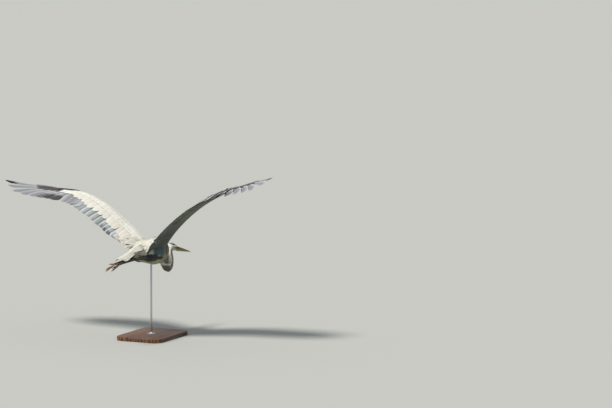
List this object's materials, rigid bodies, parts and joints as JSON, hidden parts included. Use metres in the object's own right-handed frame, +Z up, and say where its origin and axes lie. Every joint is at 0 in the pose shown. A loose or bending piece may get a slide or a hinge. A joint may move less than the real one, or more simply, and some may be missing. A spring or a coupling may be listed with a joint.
{
  "type": "grey heron",
  "caption": "Life-size still model of a grey heron in flight, wings raised, neck folded, legs trailing, on a rod and flat base",
  "frame": {"origin": "middle of the underside of the stand's base, on the floor", "axes": "+Y the way the bird flies, +X to the bird's right, +Z up"},
  "size_m": [1.4893, 0.8265, 0.8552],
  "materials": {
    "plumage_pale": "matte",
    "plumage_neck": "matte",
    "plumage_grey": "matte",
    "plumage_dark": "matte",
    "horn_bill": "satin",
    "horn_claw": "satin",
    "skin_leg": "satin",
    "eye": "gloss",
    "stand_wood": "satin",
    "stand_steel": "satin"
  },
  "bodies": {
    "root": {"trunk": "plumage_pale", "neck_lower": "plumage_neck", "neck_upper": "plumage_neck", "head": "plumage_neck", "bill_upper": "horn_bill", "bill_lower": "horn_bill", "eye_left": "eye", "eye_right": "eye", "tail": "plumage_grey", "wing_arm_left": "plumage_pale", "wing_arm_right": "plumage_pale", "wing_hand_left": "plumage_grey", "wing_hand_right": "plumage_grey", "tertials_left": "plumage_pale", "tertials_right": "plumage_pale", "secondaries_left": "plumage_grey", "secondaries_right": "plumage_grey", "primaries_left": "plumage_dark", "primaries_right": "plumage_dark", "thigh_left": "plumage_pale", "thigh_right": "plumage_pale", "tarsus_left": "skin_leg", "tarsus_right": "skin_leg", "foot_left": "skin_leg", "foot_right": "skin_leg", "claw_hind_left": "horn_claw", "claw_inner_left": "horn_claw", "claw_middle_left": "horn_claw", "claw_outer_left": "horn_claw", "claw_hind_right": "horn_claw", "claw_inner_right": "horn_claw", "claw_middle_right": "horn_claw", "claw_outer_right": "horn_claw", "stand_base": "stand_wood", "stand_flange": "stand_steel", "stand_rod": "stand_steel"}
  },
  "joints": []
}
